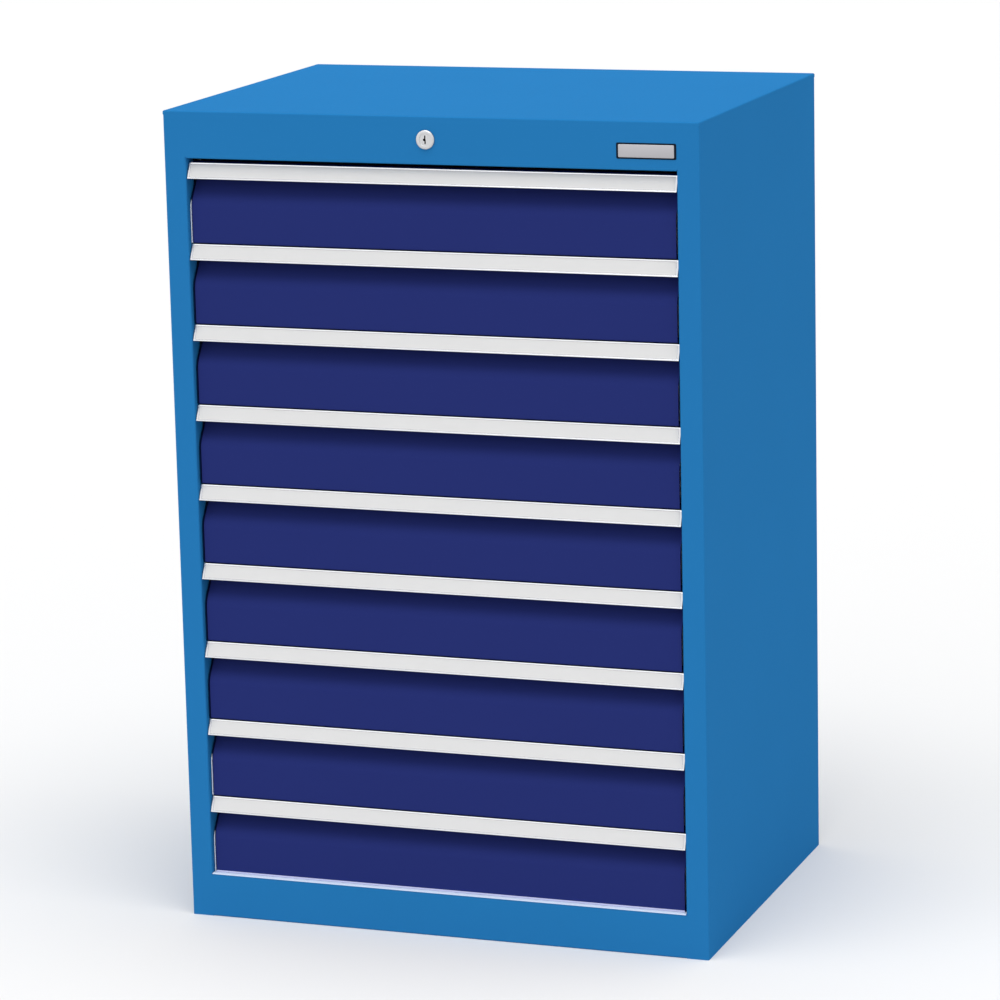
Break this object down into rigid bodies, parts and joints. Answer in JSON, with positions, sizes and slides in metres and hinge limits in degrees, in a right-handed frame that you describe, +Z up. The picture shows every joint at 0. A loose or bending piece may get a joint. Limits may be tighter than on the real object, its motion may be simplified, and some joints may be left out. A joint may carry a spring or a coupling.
{
  "type": "drawer cabinet",
  "caption": "Workshop drawer cabinet: light blue sheet-steel carcass, stacked night-blue full-extension drawers with full-width slanted grip strips, and a central key lock.",
  "frame": {"origin": "on the floor, under the middle of the carcass's footprint", "axes": "+Z up, -Y towards the person who opens the drawers, +X to that person's right"},
  "size_m": [0.68, 0.5025, 1.019],
  "materials": {
    "carcass_paint": "light blue powder coat, semi-gloss",
    "front_paint": "night blue powder coat, semi-gloss",
    "tray_paint": "light grey powder coat",
    "grip_aluminium": "clear anodised extrusion",
    "label_card": "matt white label insert",
    "slide_zinc": "zinc plated",
    "lock_nickel": "nickel plated",
    "lock_steel": "zinc plated steel",
    "badge_silver": "satin, bare"
  },
  "bodies": {
    "cabinet": {"left_side_panel": "carcass_paint", "right_side_panel": "carcass_paint", "top_panel": "carcass_paint", "back_panel": "carcass_paint", "base_pan": "carcass_paint", "runner_posts": "slide_zinc", "cabinet_rails": "slide_zinc", "lock_housing": "lock_nickel", "lock_nut": "lock_steel", "lock_guides": "lock_steel", "badge_plate": "badge_silver"},
    "lock_key_plug": {"lock_plug": "lock_nickel", "lock_shaft": "lock_steel"},
    "lock_lift_bar": {"lock_bar": "lock_steel", "lock_hooks": "lock_steel"},
    "drawer_1": {"drawer_1_tray": "tray_paint", "drawer_1_front": "front_paint", "drawer_1_grip": "grip_aluminium", "drawer_1_label": "label_card"},
    "carriages_1": {"drawer_1_carriages": "slide_zinc"},
    "drawer_2": {"drawer_2_tray": "tray_paint", "drawer_2_front": "front_paint", "drawer_2_grip": "grip_aluminium", "drawer_2_label": "label_card"},
    "carriages_2": {"drawer_2_carriages": "slide_zinc"},
    "drawer_3": {"drawer_3_tray": "tray_paint", "drawer_3_front": "front_paint", "drawer_3_grip": "grip_aluminium", "drawer_3_label": "label_card"},
    "carriages_3": {"drawer_3_carriages": "slide_zinc"},
    "drawer_4": {"drawer_4_tray": "tray_paint", "drawer_4_front": "front_paint", "drawer_4_grip": "grip_aluminium", "drawer_4_label": "label_card"},
    "carriages_4": {"drawer_4_carriages": "slide_zinc"},
    "drawer_5": {"drawer_5_tray": "tray_paint", "drawer_5_front": "front_paint", "drawer_5_grip": "grip_aluminium", "drawer_5_label": "label_card"},
    "carriages_5": {"drawer_5_carriages": "slide_zinc"},
    "drawer_6": {"drawer_6_tray": "tray_paint", "drawer_6_front": "front_paint", "drawer_6_grip": "grip_aluminium", "drawer_6_label": "label_card"},
    "carriages_6": {"drawer_6_carriages": "slide_zinc"},
    "drawer_7": {"drawer_7_tray": "tray_paint", "drawer_7_front": "front_paint", "drawer_7_grip": "grip_aluminium", "drawer_7_label": "label_card"},
    "carriages_7": {"drawer_7_carriages": "slide_zinc"},
    "drawer_8": {"drawer_8_tray": "tray_paint", "drawer_8_front": "front_paint", "drawer_8_grip": "grip_aluminium", "drawer_8_label": "label_card"},
    "carriages_8": {"drawer_8_carriages": "slide_zinc"},
    "drawer_9": {"drawer_9_tray": "tray_paint", "drawer_9_front": "front_paint", "drawer_9_grip": "grip_aluminium", "drawer_9_label": "label_card"},
    "carriages_9": {"drawer_9_carriages": "slide_zinc"}
  },
  "joints": [
    {"name": "lock_turn", "type": "hinge", "parent": "cabinet", "child": "lock_key_plug", "pos_m": [0, -0.25, 0.991], "axis": [0, 1, 0], "range_deg": [0, 90]},
    {"name": "lock_bar_lift", "type": "slide", "parent": "cabinet", "child": "lock_lift_bar", "axis": [0, 0, 1], "range_m": [0, 0.01202]},
    {"name": "drawer_1_slide", "type": "slide", "parent": "cabinet", "child": "drawer_1", "axis": [0, -1, 0], "range_m": [0, 0.4]},
    {"name": "carriages_1_slide", "type": "slide", "parent": "cabinet", "child": "carriages_1", "axis": [0, -1, 0], "range_m": [0, 0.2]},
    {"name": "drawer_2_slide", "type": "slide", "parent": "cabinet", "child": "drawer_2", "axis": [0, -1, 0], "range_m": [0, 0.4]},
    {"name": "carriages_2_slide", "type": "slide", "parent": "cabinet", "child": "carriages_2", "axis": [0, -1, 0], "range_m": [0, 0.2]},
    {"name": "drawer_3_slide", "type": "slide", "parent": "cabinet", "child": "drawer_3", "axis": [0, -1, 0], "range_m": [0, 0.4]},
    {"name": "carriages_3_slide", "type": "slide", "parent": "cabinet", "child": "carriages_3", "axis": [0, -1, 0], "range_m": [0, 0.2]},
    {"name": "drawer_4_slide", "type": "slide", "parent": "cabinet", "child": "drawer_4", "axis": [0, -1, 0], "range_m": [0, 0.4]},
    {"name": "carriages_4_slide", "type": "slide", "parent": "cabinet", "child": "carriages_4", "axis": [0, -1, 0], "range_m": [0, 0.2]},
    {"name": "drawer_5_slide", "type": "slide", "parent": "cabinet", "child": "drawer_5", "axis": [0, -1, 0], "range_m": [0, 0.4]},
    {"name": "carriages_5_slide", "type": "slide", "parent": "cabinet", "child": "carriages_5", "axis": [0, -1, 0], "range_m": [0, 0.2]},
    {"name": "drawer_6_slide", "type": "slide", "parent": "cabinet", "child": "drawer_6", "axis": [0, -1, 0], "range_m": [0, 0.4]},
    {"name": "carriages_6_slide", "type": "slide", "parent": "cabinet", "child": "carriages_6", "axis": [0, -1, 0], "range_m": [0, 0.2]},
    {"name": "drawer_7_slide", "type": "slide", "parent": "cabinet", "child": "drawer_7", "axis": [0, -1, 0], "range_m": [0, 0.4]},
    {"name": "carriages_7_slide", "type": "slide", "parent": "cabinet", "child": "carriages_7", "axis": [0, -1, 0], "range_m": [0, 0.2]},
    {"name": "drawer_8_slide", "type": "slide", "parent": "cabinet", "child": "drawer_8", "axis": [0, -1, 0], "range_m": [0, 0.4]},
    {"name": "carriages_8_slide", "type": "slide", "parent": "cabinet", "child": "carriages_8", "axis": [0, -1, 0], "range_m": [0, 0.2]},
    {"name": "drawer_9_slide", "type": "slide", "parent": "cabinet", "child": "drawer_9", "axis": [0, -1, 0], "range_m": [0, 0.4]},
    {"name": "carriages_9_slide", "type": "slide", "parent": "cabinet", "child": "carriages_9", "axis": [0, -1, 0], "range_m": [0, 0.2]}
  ],
  "couplings": [
    {"joint": "lock_turn", "follows": "lock_bar_lift", "rad_per_m": 130.67},
    {"joint": "carriages_1_slide", "follows": "drawer_1_slide", "ratio": 0.5},
    {"joint": "carriages_2_slide", "follows": "drawer_2_slide", "ratio": 0.5},
    {"joint": "carriages_3_slide", "follows": "drawer_3_slide", "ratio": 0.5},
    {"joint": "carriages_4_slide", "follows": "drawer_4_slide", "ratio": 0.5},
    {"joint": "carriages_5_slide", "follows": "drawer_5_slide", "ratio": 0.5},
    {"joint": "carriages_6_slide", "follows": "drawer_6_slide", "ratio": 0.5},
    {"joint": "carriages_7_slide", "follows": "drawer_7_slide", "ratio": 0.5},
    {"joint": "carriages_8_slide", "follows": "drawer_8_slide", "ratio": 0.5},
    {"joint": "carriages_9_slide", "follows": "drawer_9_slide", "ratio": 0.5}
  ]
}
